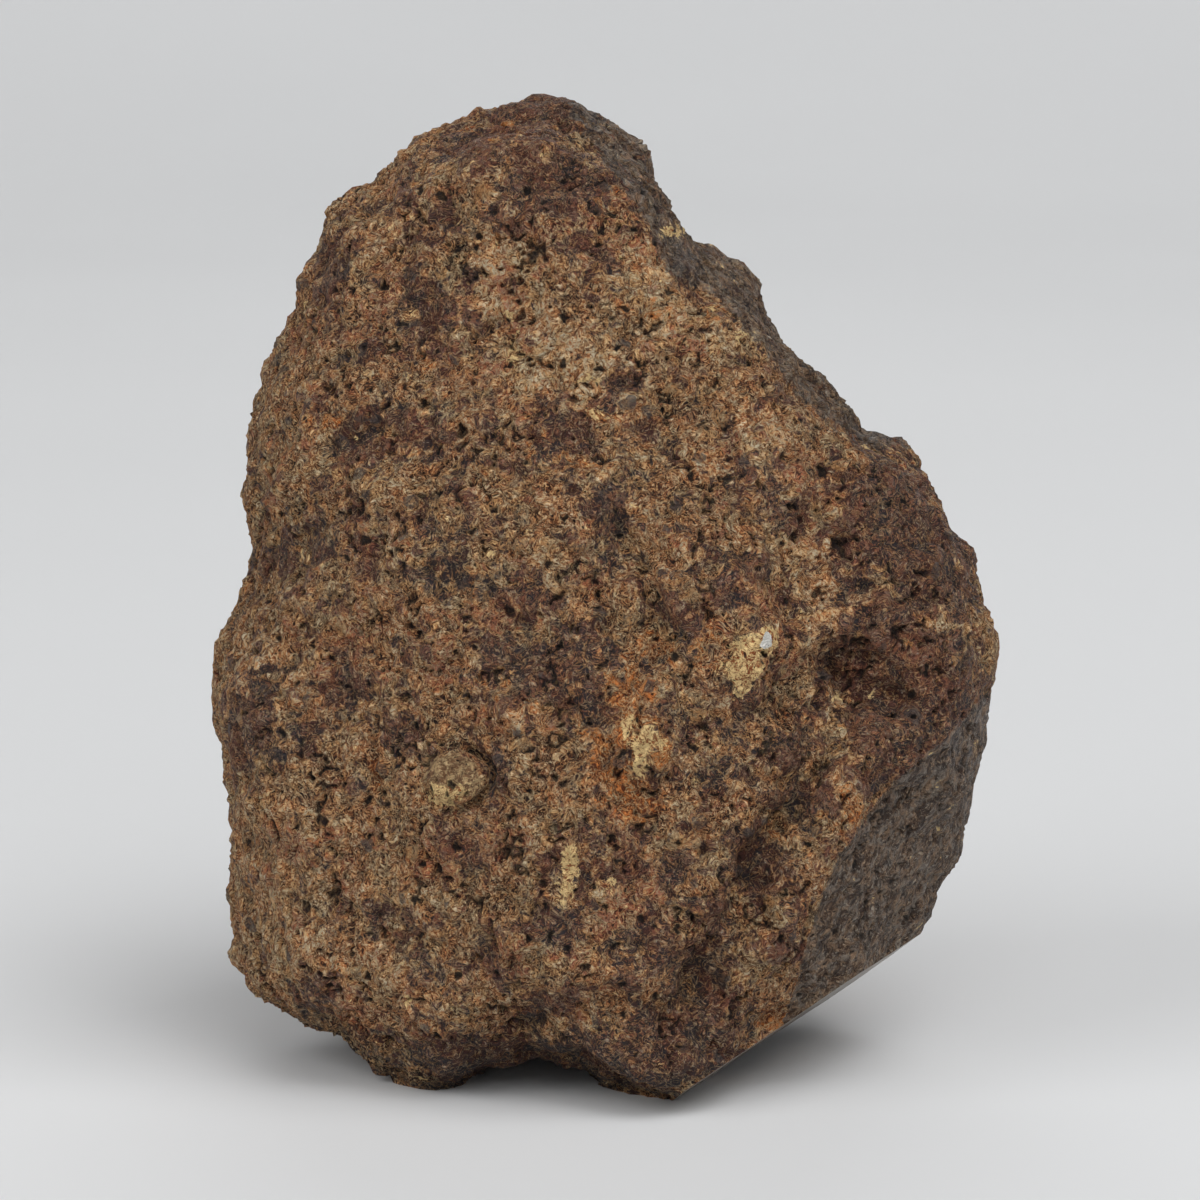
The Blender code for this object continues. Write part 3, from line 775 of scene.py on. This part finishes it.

# %% [markdown]
# The map of the marks
#
# Colour lies on a weathered stone in patches: dark plum-coloured ones round the grains, pale and
# yellowish ones where salts dried, orange rust, a few cream crusts. Each kind of mark is one soft
# map over the points of the stone, made of bells at listed spots. The finish sharpens the
# maps with its own noise, so no soft edge is ever seen. A mark ends at a set depth behind the
# view's middle, or it would run along the side as a stripe. The back's marks are scattered by seed.
# Some dark rows are painted shade, not stain: those under the arch and low on the chin, the one in the gap
# beside the large grain, and in part those of the hollow on the right. One cream spot is a painted glint.

# %% Marks
# Each row: picture x, picture y, half width, half height, strength
MARKS = {
    "dark": [
        (540, 668, 58, 40, 1.0), (598, 660, 24, 30, 0.7), (430, 312, 36, 34, 1.0),
        (372, 352, 16, 12, 0.7), (362, 440, 30, 32, 0.9), (412, 430, 34, 26, 0.8),
        (490, 425, 14, 30, 0.8), (572, 430, 40, 28, 1.0), (600, 430, 30, 24, 0.6),
        (254, 721, 24, 42, 1.1), (338, 692, 30, 20, 1.0), (398, 737, 16, 23, 1.1),
        (310, 742, 16, 20, 0.7), (458, 852, 18, 30, 1.0), (630, 860, 20, 24, 0.9),
        (600, 840, 16, 26, 0.8), (560, 922, 36, 20, 0.8), (625, 382, 18, 11, 1.3), (645, 425, 9, 10, 0.8),
        (572, 488, 8, 8, 0.9), (890, 510, 50, 44, 1.4), (930, 560, 40, 50, 1.4), (860, 545, 30, 18, 0.9),
        (336, 262, 15, 32, 1.0), (325, 298, 12, 20, 0.7), (788, 756, 15, 17, 1.2),
        (813, 799, 20, 20, 1.1), (772, 797, 12, 12, 0.9), (710, 911, 20, 16, 1.1),
        (785, 948, 22, 14, 1.0), (440, 214, 14, 13, 0.9), (400, 205, 20, 34, 0.6),
        (510, 225, 24, 18, 0.8), (560, 182, 60, 28, 1.1), (540, 112, 40, 26, 1.2),
        (470, 150, 40, 24, 0.9), (578, 242, 22, 14, 0.8), (607, 270, 18, 12, 0.9),
        (684, 270, 16, 14, 0.9), (740, 470, 24, 18, 0.8), (790, 520, 22, 20, 0.9),
        (605, 520, 22, 44, 0.8), (835, 540, 18, 16, 0.9), (840, 490, 16, 14, 0.7),
        # These three rows are partly dark patches of the crust and partly painted shade in the hollow on
        # the right.
        (905, 705, 60, 60, 1.9), (880, 660, 50, 60, 1.2), (885, 650, 36, 36, 1.1),
        # (495, 778) is painted shade in the gap along the large grain's right side.
        (850, 640, 20, 34, 0.8), (700, 985, 30, 44, 1.0), (672, 605, 20, 16, 0.8), (495, 778, 9, 28, 1.1),
        (318, 992, 18, 14, 0.9), (376, 913, 12, 12, 0.8), (410, 928, 14, 18, 0.7),
        (490, 944, 12, 22, 0.8), (300, 560, 34, 26, 0.7), (365, 545, 20, 34, 0.7),
        (440, 570, 30, 24, 0.7), (450, 520, 30, 20, 0.6), (700, 720, 30, 22, 0.7),
        (760, 870, 26, 34, 1.2), (740, 700, 26, 18, 0.6), (620, 980, 18, 16, 0.7),
        # (660, 1050) is painted shade low on the chin.
        (660, 1050, 40, 18, 0.6), (310, 1000, 22, 18, 0.7), (870, 590, 26, 14, 0.8),
        (450, 975, 22, 14, 0.5), (700, 560, 22, 18, 0.5), (760, 560, 20, 14, 0.6),
        (880, 440, 24, 20, 0.6), (520, 310, 10, 12, 0.5), (330, 600, 26, 16, 0.5),
        # (480, 1060) and the next line's (600, 1050), (670, 1050) and (545, 1005) are painted shade under
        # the arch and on the chin.
        (660, 460, 20, 16, 0.4), (480, 620, 26, 14, 0.4), (480, 1060, 60, 26, 1.3),
        (600, 1050, 60, 26, 1.2), (670, 1050, 62, 32, 1.5), (545, 1005, 50, 22, 0.5),
        (720, 775, 30, 18, 0.6), (340, 905, 26, 16, 0.5), (590, 690, 26, 30, 0.9),
        (520, 600, 30, 24, 0.8), (560, 640, 24, 20, 0.8), (690, 640, 20, 22, 0.8),
        (650, 940, 34, 22, 0.8), (560, 870, 30, 22, 0.7), (720, 590, 22, 18, 0.8),
        (790, 600, 12, 20, 0.7), (690, 860, 22, 24, 0.8), (780, 400, 20, 14, 0.4),
        (400, 650, 26, 14, 0.4),
    ],
    "pale": [
        (498, 300, 18, 50, 1.0), (525, 350, 36, 50, 1.2), (580, 380, 40, 28, 1.2),
        (552, 345, 34, 34, 1.0), (628, 262, 36, 18, 0.9), (700, 335, 44, 22, 0.8),
        (742, 338, 18, 10, 0.9), (660, 330, 40, 30, 0.6), (668, 228, 16, 9, 0.8), (812, 585, 26, 42, 1.0),
        (806, 545, 20, 14, 0.7), (270, 500, 12, 34, 0.7), (240, 640, 34, 48, 0.7),
        (270, 655, 30, 30, 0.5), (700, 460, 40, 20, 0.6), (730, 520, 26, 30, 0.6),
        (650, 450, 24, 20, 0.5), (492, 550, 14, 9, 0.8), (500, 570, 60, 30, 0.4), (545, 600, 40, 30, 0.4),
        (310, 870, 46, 50, 0.6), (280, 930, 40, 60, 0.6), (350, 960, 40, 30, 0.5),
        (300, 800, 40, 30, 0.4), (820, 700, 20, 24, 0.5), (840, 745, 20, 22, 0.5),
        (430, 680, 40, 26, 0.5), (470, 660, 30, 30, 0.5), (605, 893, 24, 18, 0.9),
        (560, 1030, 40, 20, 0.4), (590, 1020, 22, 14, 0.5), (400, 900, 40, 26, 0.4),
        (660, 690, 30, 20, 0.5), (635, 790, 22, 40, 0.5), (760, 440, 30, 24, 0.4),
        (640, 340, 30, 20, 0.4), (560, 720, 60, 16, 0.4), (480, 1000, 40, 24, 0.3),
        (655, 890, 14, 20, 0.7), (245, 850, 16, 60, 0.4),
    ],
    "rust": [
        (628, 738, 34, 50, 1.7), (640, 795, 22, 34, 1.1), (600, 800, 12, 34, 0.7),
        (545, 440, 22, 30, 0.7), (560, 466, 40, 12, 0.6), (425, 360, 20, 12, 0.6),
        (655, 660, 30, 50, 0.6), (700, 640, 40, 40, 0.5), (545, 395, 50, 12, 0.4),
        (600, 410, 20, 10, 0.5), (500, 690, 60, 40, 0.4), (320, 420, 40, 14, 0.5),
        (320, 520, 40, 20, 0.4), (900, 640, 30, 30, 0.5), (850, 820, 34, 40, 0.6),
        (780, 850, 40, 40, 0.4), (500, 130, 40, 16, 0.5), (640, 185, 34, 20, 0.5),
        (640, 310, 50, 20, 0.5), (715, 312, 14, 8, 0.8), (320, 850, 26, 20, 0.5), (250, 560, 30, 30, 0.4),
        (460, 1060, 30, 16, 0.5), (775, 1020, 24, 12, 0.9), (400, 780, 40, 14, 0.4),
        (375, 780, 12, 30, 0.6), (720, 380, 50, 30, 0.4), (460, 470, 40, 20, 0.4),
        (640, 1060, 30, 14, 0.6), (780, 980, 30, 24, 0.4), (590, 600, 40, 24, 0.3),
        (570, 800, 40, 30, 0.4),
    ],
    "red": [
        (495, 122, 40, 18, 1.3), (605, 200, 30, 22, 0.9), (590, 235, 30, 20, 0.6),
        (340, 320, 50, 22, 0.7), (360, 290, 40, 16, 0.6), (780, 1025, 26, 14, 0.9),
        (460, 840, 40, 30, 0.5), (440, 650, 40, 26, 0.5), (350, 670, 40, 30, 0.6),
        (780, 650, 16, 22, 1.0), (640, 875, 26, 40, 0.8), (620, 920, 40, 20, 0.6),
        (500, 610, 60, 30, 0.5), (430, 870, 20, 16, 0.5), (350, 540, 30, 40, 0.5),
        (720, 600, 40, 30, 0.4), (800, 470, 30, 20, 0.4), (600, 560, 30, 40, 0.4),
        (450, 320, 50, 50, 0.4), (300, 850, 30, 20, 0.4), (540, 960, 60, 30, 0.4),
        (380, 180, 30, 40, 0.3), (900, 470, 30, 14, 0.6), (720, 250, 20, 10, 0.4),
        (355, 1010, 30, 20, 0.5), (430, 1040, 40, 20, 0.4), (960, 610, 16, 20, 0.5),
        (560, 130, 20, 20, 0.4),
    ],
    "cream": [
        (744, 664, 15, 24, 1.25), (767, 640, 7, 10, 2.2), (752, 646, 16, 12, 1.15),
        (742, 686, 9, 10, 1.0), (648, 742, 16, 14, 1.0), (643, 768, 12, 16, 0.8), (632, 728, 9, 12, 0.7),
        (570, 868, 9, 18, 0.9), (567, 890, 8, 10, 0.7), (671, 231, 11, 7, 0.8), (492, 553, 5, 6, 1.0),
        (446, 793, 20, 11, 0.9), (742, 337, 10, 6, 0.7), (712, 310, 8, 5, 0.5), (740, 360, 8, 5, 0.4),
        (503, 318, 8, 18, 0.5), (515, 352, 8, 14, 0.5), (586, 378, 20, 8, 0.5), (602, 408, 14, 7, 0.5),
        (610, 885, 14, 12, 0.5), (799, 612, 16, 5, 0.5), (870, 446, 7, 4, 0.7), (410, 1003, 6, 5, 0.5),
        # (356, 437) is a painted glint on the pit there, not a crust.
        (456, 1005, 8, 4, 0.4), (598, 1026, 8, 6, 0.4), (268, 628, 4, 3, 0.5), (356, 437, 3, 3, 0.6),
        (620, 262, 14, 6, 0.5),
    ],
}
OLIVE_DISC = (454, 778, 25, 22, 1.2)
# How far behind the view's middle marks reach, in mm
MARK_DEPTH = 20.0
CREAM_DEPTH = -1.0
OLIVE_DEPTH = 0.0
MARK_FADE = 4.0
MARK_SHARPNESS = 0.7


def front_map(rows, points, facing, deepest):
    """A soft map from rows of marks, where the front faces the view and down to a depth in mm."""
    x, y, depth = seen_at(points)
    total = np.zeros(len(points))
    for at_x, at_y, half_width, half_height, strength in rows:
        far = ((x - at_x) / half_width) ** 2 + ((y - at_y) / half_height) ** 2
        total = np.maximum(total, strength * np.exp(-MARK_SHARPNESS * far))
    within = 1.0 - step(depth, deepest - MARK_FADE, deepest)
    return total * step(facing, -0.15, 0.15) * within


def back_map(points, facing, count, low, high, strength, generator):
    """Scattered marks for the side that the view doesn't show."""
    hidden = np.flatnonzero(facing < 0.0)
    total = np.zeros(len(points))
    for index in generator.choice(hidden, count, replace=False):
        reach = generator.uniform(low, high, 3)
        near = np.flatnonzero(np.abs(points[:, 2] - points[index, 2]) < 2.5 * high)
        far = (((points[near] - points[index]) / reach) ** 2).sum(axis=1)
        level = strength * generator.uniform(0.6, 1.0)
        total[near] = np.maximum(total[near], level * np.exp(-MARK_SHARPNESS * far))
    return total * step(-facing, -0.15, 0.15)


BACK_MARKS = {
    "dark": (150, 0.8, 3.6, 1.1),
    "pale": (70, 1.0, 4.4, 0.9),
    "rust": (60, 0.9, 3.6, 0.9),
    "red": (50, 1.2, 4.0, 0.9),
    "cream": (16, 0.3, 1.1, 1.0),
}
spots = read_points(stone.data)
facing = -(read_normals(stone.data) @ view_line)
for kind, rows in MARKS.items():
    marked = front_map(rows, spots, facing, CREAM_DEPTH if kind == "cream" else MARK_DEPTH)
    marked += back_map(spots, facing, *BACK_MARKS[kind], generator)
    write_map(stone.data, kind, marked)
    print(kind, "marks:", len(rows), "in front; mean", round(float(marked.mean()), 3))
write_map(stone.data, "olive", front_map([OLIVE_DISC], spots, facing, OLIVE_DEPTH))
flank_share, shoulder_share = breaks(spots)
write_map(stone.data, "flank", flank_share)
write_map(stone.data, "shoulder", shoulder_share)

# %% [markdown]
# Painted shade in hollows, painted highlight on ridges
#
# The finish paints hollows darker, as painted shade, and ridges lighter, as painted highlight. How
# hollow a point is follows from its neighbours: if they stand higher than it, it lies in a hollow.
# Averaging over wider and wider rings gives that for fine pits and for broad hollows.

# %% Hollows
RINGS = {"fine hollow": 2, "broad hollow": 14}


def ring_mean(edges, values, rounds):
    """Values averaged with those of the neighbouring points, several times over."""
    count = np.bincount(edges.ravel(), minlength=len(values)).astype(float)[:, None]
    for _ in range(rounds):
        total = np.zeros_like(values)
        np.add.at(total, edges[:, 0], values[edges[:, 1]])
        np.add.at(total, edges[:, 1], values[edges[:, 0]])
        values = 0.5 * values + 0.5 * total / np.maximum(count, 1.0)
    return values


edges = np.empty(len(stone.data.edges) * 2, np.int64)
stone.data.edges.foreach_get("vertices", edges)
edges = edges.reshape(-1, 2)
normals = read_normals(stone.data)
for hollow_name, rounds in RINGS.items():
    mean_place = ring_mean(edges, spots, rounds)
    mean_normal = ring_mean(edges, normals, rounds)
    hollow = ((mean_place - spots) * mean_normal).sum(axis=1)
    write_map(stone.data, hollow_name, hollow)
    print(hollow_name, "5% to 95%, mm:", np.round(np.percentile(hollow, (5, 95)), 3))

# %% [markdown]
# The crust's finish
#
# Up close the crust is a felt of fine tan veins round dark hearts, speckled with black pits and
# pale grains. The shader draws those with warped noise in the stone's own coordinates and the maps
# that the relief kept, then lays the marks over them. Painted light is laid in too: a painted
# shadow beside each vein, painted shade in hollows and painted highlight on ridges, painted glints
# in the dark patches, and painted shade that darkens the base. A slow flush shifts the hue from
# cool to warm. One height drives a Bump node for the grain that is finer than the mesh.


# %% Crust finish
def crust_finish(material):
    recipe, shader = opened(material)
    place = recipe.place_in_mm()
    names = ("dark", "pale", "rust", "red", "cream", "olive", "flank", "shoulder")
    maps = {}
    for name in (*names, *KEPT_MAPS, "fine hollow", "broad hollow"):
        maps[name] = recipe.node("ShaderNodeAttribute", {"attribute_name": name}, output="Fac")
    bent = recipe.bent(place, 0.8, 1.1)
    wavering = recipe.bent(bent, 2.4, 0.40)
    cloud = recipe.noise(place, 0.16, 3.0, 0.6) - 0.5
    torn = recipe.noise(bent, 0.50, 5.0, 0.66, 0.4) - 0.5
    rough = recipe.noise(bent, 0.95, 5.0, 0.70) - 0.5
    grit = recipe.noise(wavering, 3.7, 3.0, 0.75, 0.5) - 0.5
    tints = recipe.noise(bent, 0.36, 4.0, 0.65, output="Color")
    flush = recipe.share_of(recipe.noise(wavering, 1.3, 3.0, 0.65, output="Color")) - 0.5
    # Painted shade: the crust is darker towards the table, over the lowest 8 mm.
    painted_foot_shade = 1.0 - recipe.share_of(place, 0.0, 0.0, 1.0).rises(0.5, 8.0)
    hue = recipe.share_of(tints) - 0.5
    warm = recipe.share_of(tints, 0.0, 1.0) - 0.5
    gap = (recipe.noise(bent, 0.80, 2.0, 0.6, 0.9) - 0.5).size()
    slit = (recipe.noise(wavering, 1.5, 1.0, 0.6, 0.8) - 0.5).size()
    web = 1.0 - gap.rises(0.004, 0.024)
    hair = 1.0 - slit.rises(0.008, 0.036)
    # Painted shadow: a dark seam beside each raised vein and hair.
    painted_vein_shadow = 1.0 - (gap - 0.042).size().rises(0.0, 0.024)
    painted_vein_shadow = painted_vein_shadow.largest(0.8 - 0.8 * (slit - 0.07).size().rises(0.0, 0.04))
    spot = recipe.cells(wavering, 1.9)
    rare = recipe.noise(bent, 1.3, 1.0)
    speck = (1.0 - spot.rises(0.12, 0.25)) * rare.rises(0.50, 0.55)
    pit = speck.largest((maps["pit"] + grit).rises(0.35, 0.70))
    crack = (maps["crack"] + grit * 1.2).rises(0.40, 0.75)
    grain = (maps["bead"] * 2.4 + maps["knob"] * 1.3 + grit * 0.9).rises(0.55, 0.75)

    chalk = (maps["pale"] + torn * 3.0 + rough).rises(0.30, 0.75)
    field = maps["dark"] - torn * 4.0 - rough * 1.2 + 0.10 - 0.25 * chalk
    plum = field.rises(0.36, 0.50)
    rim = 1.0 - (field - 0.38).size().rises(0.03, 0.16)
    # The tone rises with rough and grit, which also lift the bump: partly the crust's own mottling, partly
    # painted shade in low places and painted highlight on high ones. It also takes the painted shade of
    # the base and the painted shadow beside the veins.
    tone = 0.58 + rough * 1.0 + grit * 3.6 + cloud * 0.8 - 0.28 * painted_vein_shadow - 0.7 * painted_foot_shade
    # Painted shade and highlight: the hollow maps darken low points and lighten ridges.
    tone = tone + 0.32 * chalk - 1.0 * maps["fine hollow"] - 0.60 * maps["broad hollow"]
    brown = recipe.mix(warm.rises(-0.10, 0.10), paint(130, 93, 64), paint(146, 93, 60))
    tan = recipe.mix(warm.rises(-0.08, 0.08), paint(192, 152, 108), paint(204, 146, 100))
    colour = recipe.mix(tone.rises(0.02, 0.32), paint(32, 15, 8), paint(92, 59, 40))
    colour = recipe.mix(tone.rises(0.32, 0.50), colour, brown)
    colour = recipe.mix(tone.rises(0.58, 0.82), colour, tan)
    colour = recipe.mix(tone.rises(0.84, 1.08), colour, paint(230, 202, 166))

    ruddy = (maps["red"] * 0.9 + hue * 3.2 + rough).rises(0.20, 0.46)
    rusty = recipe.mix(tone.rises(0.2, 0.8), paint(78, 38, 28), paint(172, 106, 78))
    colour = recipe.mix(0.80 * ruddy, colour, rusty)
    ochre = (maps["rust"] + torn * 2.0 + rough).rises(0.44, 0.72)
    orange = recipe.mix(tone.rises(0.2, 0.9), paint(104, 52, 24), paint(222, 138, 70))
    colour = recipe.mix(0.85 * ochre, colour, orange)

    inside = recipe.mix(hue.rises(-0.06, 0.06), paint(44, 38, 42), paint(72, 39, 32))
    inside = recipe.mix(tone.rises(0.40, 0.80), inside, paint(126, 80, 64))
    # Painted glints: the light specks inside the dark patches.
    inside = recipe.mix(grit.rises(0.11, 0.18), inside, paint(164, 148, 132))
    colour = recipe.mix(0.88 * plum, colour, inside)
    light = recipe.mix(tone.rises(0.0, 0.7), paint(88, 60, 40), paint(184, 142, 98))
    dusky = recipe.mix(tone.rises(0.0, 0.8), paint(28, 23, 25), paint(86, 72, 68))
    heart = recipe.mix((maps["tint"] + grit).rises(0.70, 0.78), dusky, light)
    colour = recipe.mix(0.85 * grain, colour, heart)
    strand = recipe.mix(grit.rises(-0.08, 0.10), tan, paint(238, 204, 158))
    thread = web.largest(0.75 * hair) * (1.0 - 0.50 * plum) * (1.0 - 0.70 * grain)
    colour = recipe.mix(0.92 * thread, colour, strand)
    colour = recipe.mix(0.45 * rim, colour, strand)

    grey = recipe.mix((rough + 0.7 * grit).rises(-0.12, 0.12), paint(62, 47, 40), paint(148, 130, 116))
    grey = recipe.mix(grit.rises(0.07, 0.15), grey, paint(178, 162, 146))
    flank = (maps["flank"] + torn * 1.6 + rough * 0.5).rises(0.42, 0.56)
    flank = flank * maps["flank"].rises(0.02, 0.20)
    colour = recipe.mix(0.92 * flank, colour, grey)
    cool = recipe.mix((rough + 0.5 * grit).rises(-0.10, 0.16), paint(44, 40, 42), paint(156, 142, 130))
    shoulder = (maps["shoulder"] + torn * 4.0 + rough * 1.5).rises(0.40, 0.60)
    shoulder = shoulder * maps["shoulder"].rises(0.02, 0.30)
    colour = recipe.mix(0.72 * shoulder, colour, cool)

    glow = recipe.mix(flush.rises(-0.10, 0.10), paint(240, 250, 255), paint(255, 240, 218))
    colour = recipe.mix(1.0, colour, glow, "MULTIPLY")

    olive = recipe.mix((rough + grit).rises(-0.12, 0.14), paint(120, 86, 58), paint(212, 180, 132))
    colour = recipe.mix(0.85 * (maps["olive"] + rough * 0.9).rises(0.42, 0.58), colour, olive)
    cream = recipe.mix((grit + 0.6 * rough).rises(-0.12, 0.05), paint(150, 78, 34), paint(255, 220, 156))
    crusted = (maps["cream"] + torn * 1.6 + rough * 1.9 + grit).rises(0.46, 0.56)
    colour = recipe.mix(0.95 * crusted, colour, cream)
    colour = recipe.mix((maps["cream"] + rough * 2.2).rises(1.30, 1.40), colour, paint(250, 246, 238))
    colour = recipe.mix(0.90 * pit.largest(0.8 * crack), colour, paint(18, 11, 8))
    recipe.feed(shader, "Base Color", colour)

    gloss = 0.88 - 0.26 * plum - 0.16 * flank - 0.14 * grain
    recipe.feed(shader, "Roughness", gloss)
    shader.inputs["Specular IOR Level"].default_value = 0.35
    height = rough * 0.9 + grit * 0.70 + web * 0.14 + hair * 0.07 + rim * 0.06 - pit * 0.25 - crack * 0.2
    bump = recipe.node("ShaderNodeBump", {}, {"Strength": 1.0, "Distance": MM, "Height": height})
    recipe.feed(shader, "Normal", bump)


crust_finish(crust)
print("crust finish:", len(crust.node_tree.nodes), "nodes")

# %% [markdown]
# The sawn face
#
# Inside, such a stone is a pack of round grains in a grey ground, with bright flecks of metal and
# a rusty rind. The saw left it flat and nearly polished, so it is a finish of its own on the faces
# that lie in the saw's plane, and their rim is marked sharp.


# %% Sawn face
ON_CUT = 0.002


def sawn_finish():
    material = bpy.data.materials.new("sawn face")
    recipe, shader = opened(material)
    place = recipe.place_in_mm()
    bent = recipe.bent(place, 0.8, 0.5)
    ground = recipe.noise(bent, 1.2, 4.0, 0.6)
    colour = recipe.mix(ground.rises(0.35, 0.65), paint(112, 100, 88), paint(86, 74, 64))
    shade = recipe.share_of(recipe.cells(bent, 0.95, output="Color"))
    round_grain = 1.0 - recipe.cells(bent, 0.95).rises(0.36, 0.42)
    grain = recipe.mix(shade, paint(70, 58, 50), paint(146, 134, 116))
    colour = recipe.mix(0.8 * round_grain * shade.rises(0.25, 0.3), colour, grain)
    stain = recipe.noise(place, 0.22, 3.0).rises(0.5, 0.68)
    colour = recipe.mix(0.5 * stain, colour, paint(120, 82, 52))
    metal = 1.0 - recipe.cells(bent, 1.9).rises(0.16, 0.20)
    metal = metal * recipe.noise(place, 1.1, 1.0).rises(0.5, 0.52)
    colour = recipe.mix(metal, colour, paint(190, 186, 178))
    recipe.feed(shader, "Base Color", colour)
    recipe.feed(shader, "Metallic", 0.9 * metal)
    recipe.feed(shader, "Roughness", 0.26 + 0.16 * ground)
    marks = recipe.noise(recipe.vector("MULTIPLY", place, (0.3, 4.0, 4.0)), 1.6, 2.0)
    bump = recipe.node("ShaderNodeBump", {}, {"Strength": 0.12, "Distance": 0.02 * MM, "Height": marks})
    recipe.feed(shader, "Normal", bump)
    return material


stone.data.materials.clear()
stone.data.materials.append(crust)
stone.data.materials.append(sawn_finish())
spots = read_points(stone.data)
on_saw = np.abs((spots - SAW_POINT) @ SAW_NORMAL) < ON_CUT
on_ground = np.abs(spots[:, 2]) < ON_CUT
corners = np.array([face.vertices[:] for face in stone.data.polygons])
saw_faces = on_saw[corners].all(axis=1)
ground_faces = on_ground[corners].all(axis=1)
stone.data.polygons.foreach_set("material_index", saw_faces.astype(np.int32))
stone.data.shade_smooth()
edge_faces = {}
for index in np.flatnonzero(saw_faces | ground_faces):
    for key in stone.data.polygons[index].edge_keys:
        edge_faces[key] = edge_faces.get(key, 0) + 1
rim = {key for key, count in edge_faces.items() if count == 1}
sharp = stone.data.attributes.new("sharp_edge", "BOOLEAN", "EDGE")
keys = np.array(stone.data.edge_keys)
sharp.data.foreach_set("value", [tuple(key) in rim for key in keys.tolist()])
stone.data.update()
print("sawn:", int(saw_faces.sum()), "faces; resting:", int(ground_faces.sum()), "; rim:", len(rim))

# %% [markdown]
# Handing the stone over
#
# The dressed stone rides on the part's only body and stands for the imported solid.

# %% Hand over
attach(stone, "root")
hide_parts("meteorite")
